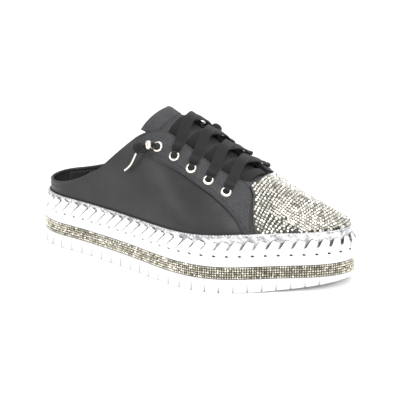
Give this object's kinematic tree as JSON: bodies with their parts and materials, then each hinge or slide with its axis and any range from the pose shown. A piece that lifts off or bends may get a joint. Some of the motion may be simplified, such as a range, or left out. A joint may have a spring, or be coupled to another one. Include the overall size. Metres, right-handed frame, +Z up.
{
  "type": "backless platform trainer",
  "caption": "Backless lace-up platform trainer for the right foot, with a stone-set toe cap, a banded thick sole and a whip-stitched edge.",
  "frame": {"origin": "under the middle of the sole's bounding box, on the plane it stands on", "axes": "+X to the toe, +Y to the wearer's left, +Z up"},
  "size_m": [0.2631, 0.1116, 0.1185],
  "materials": {
    "white_rubber": "satin moulded rubber",
    "white_leather": "smooth satin strap",
    "stone_band": "rows of small set stones",
    "silver_foil": "mirror foil on leather",
    "black_leather": "smooth, soft sheen",
    "grained_leather": "pebbled grain",
    "stone_cloth": "close-set small stones",
    "lining_cloth": "brushed lining",
    "lace_cloth": "matte woven lace",
    "polished_metal": "polished"
  },
  "bodies": {
    "root": {"outsole": "white_rubber", "midsole": "white_rubber", "rhinestone_band": "stone_band", "whipstitch": "white_leather", "foxing_strip": "silver_foil", "upper": "black_leather", "toe_cap": "stone_cloth", "tongue": "grained_leather", "insole": "lining_cloth", "eyestay_right": "grained_leather", "eyestay_left": "grained_leather", "eyelet_right_1": "polished_metal", "eyelet_right_2": "polished_metal", "eyelet_right_3": "polished_metal", "eyelet_right_4": "polished_metal", "eyelet_right_5": "polished_metal", "eyelet_left_1": "polished_metal", "eyelet_left_2": "polished_metal", "eyelet_left_3": "polished_metal", "eyelet_left_4": "polished_metal", "eyelet_left_5": "polished_metal", "lace_crossing_1": "lace_cloth", "lace_crossing_2": "lace_cloth", "lace_crossing_3": "lace_cloth", "lace_crossing_4": "lace_cloth", "lace_bar": "lace_cloth", "lace_end_right": "lace_cloth", "bead_right": "polished_metal", "lace_knot_right": "lace_cloth", "aglet_right": "polished_metal", "lace_end_left": "lace_cloth", "bead_left": "polished_metal", "lace_knot_left": "lace_cloth", "aglet_left": "polished_metal"}
  },
  "joints": []
}
